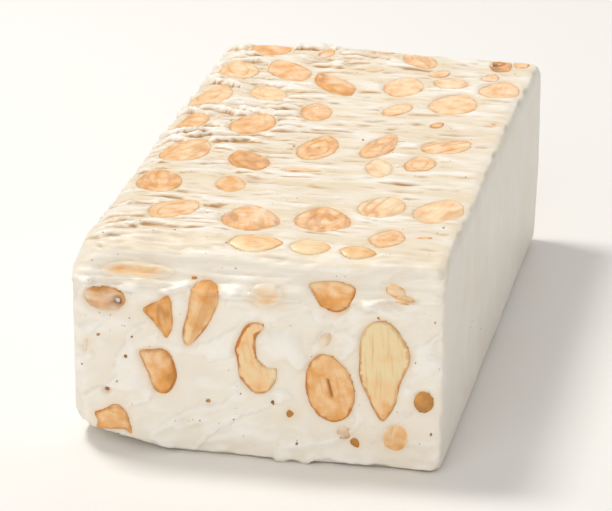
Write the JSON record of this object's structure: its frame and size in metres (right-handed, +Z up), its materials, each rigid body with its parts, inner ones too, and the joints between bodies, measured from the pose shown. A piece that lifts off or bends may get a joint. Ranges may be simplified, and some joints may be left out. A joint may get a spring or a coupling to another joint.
{
  "type": "nougat bar",
  "caption": "Thick rectangular bar of white almond nougat, cut from a slab, with sliced almonds flush in its cut faces.",
  "frame": {"origin": "middle of the underside, on the surface the bar lies on", "axes": "+Z up, +Y along the bar away from the front cut end, +X towards the right moulded side seen from the front end"},
  "size_m": [0.0952, 0.1918, 0.056],
  "materials": {
    "nougat": "soft matt cream-white nougat, whipped with egg white, faintly translucent; moulded sides, knife-cut ends and a wire-cut top with drag marks",
    "almond": "lightly roasted almond cut through, pale tan face with a darker orange-brown rim, satin"
  },
  "bodies": {
    "root": {"back_almond_01": "almond", "back_almond_02": "almond", "back_almond_03": "almond", "back_almond_04": "almond", "back_almond_05": "almond", "back_almond_06": "almond", "back_almond_07": "almond", "back_almond_08": "almond", "back_almond_09": "almond", "back_almond_10": "almond", "back_almond_11": "almond", "front_almond_01": "almond", "front_almond_02": "almond", "front_almond_03": "almond", "front_almond_04": "almond", "front_almond_05": "almond", "front_almond_06": "almond", "front_almond_07": "almond", "front_almond_08": "almond", "front_almond_09": "almond", "front_almond_10": "almond", "front_almond_11": "almond", "front_almond_12": "almond", "front_almond_13": "almond", "nougat": "nougat", "top_almond_01": "almond", "top_almond_02": "almond", "top_almond_03": "almond", "top_almond_04": "almond", "top_almond_05": "almond", "top_almond_06": "almond", "top_almond_07": "almond", "top_almond_08": "almond", "top_almond_09": "almond", "top_almond_10": "almond", "top_almond_11": "almond", "top_almond_12": "almond", "top_almond_13": "almond", "top_almond_14": "almond", "top_almond_15": "almond", "top_almond_16": "almond", "top_almond_17": "almond", "top_almond_18": "almond", "top_almond_19": "almond", "top_almond_20": "almond", "top_almond_21": "almond", "top_almond_22": "almond", "top_almond_23": "almond", "top_almond_24": "almond", "top_almond_25": "almond", "top_almond_26": "almond", "top_almond_27": "almond", "top_almond_28": "almond", "top_almond_29": "almond", "top_almond_30": "almond", "top_almond_31": "almond", "top_almond_32": "almond", "top_almond_33": "almond", "top_almond_34": "almond"}
  },
  "joints": []
}
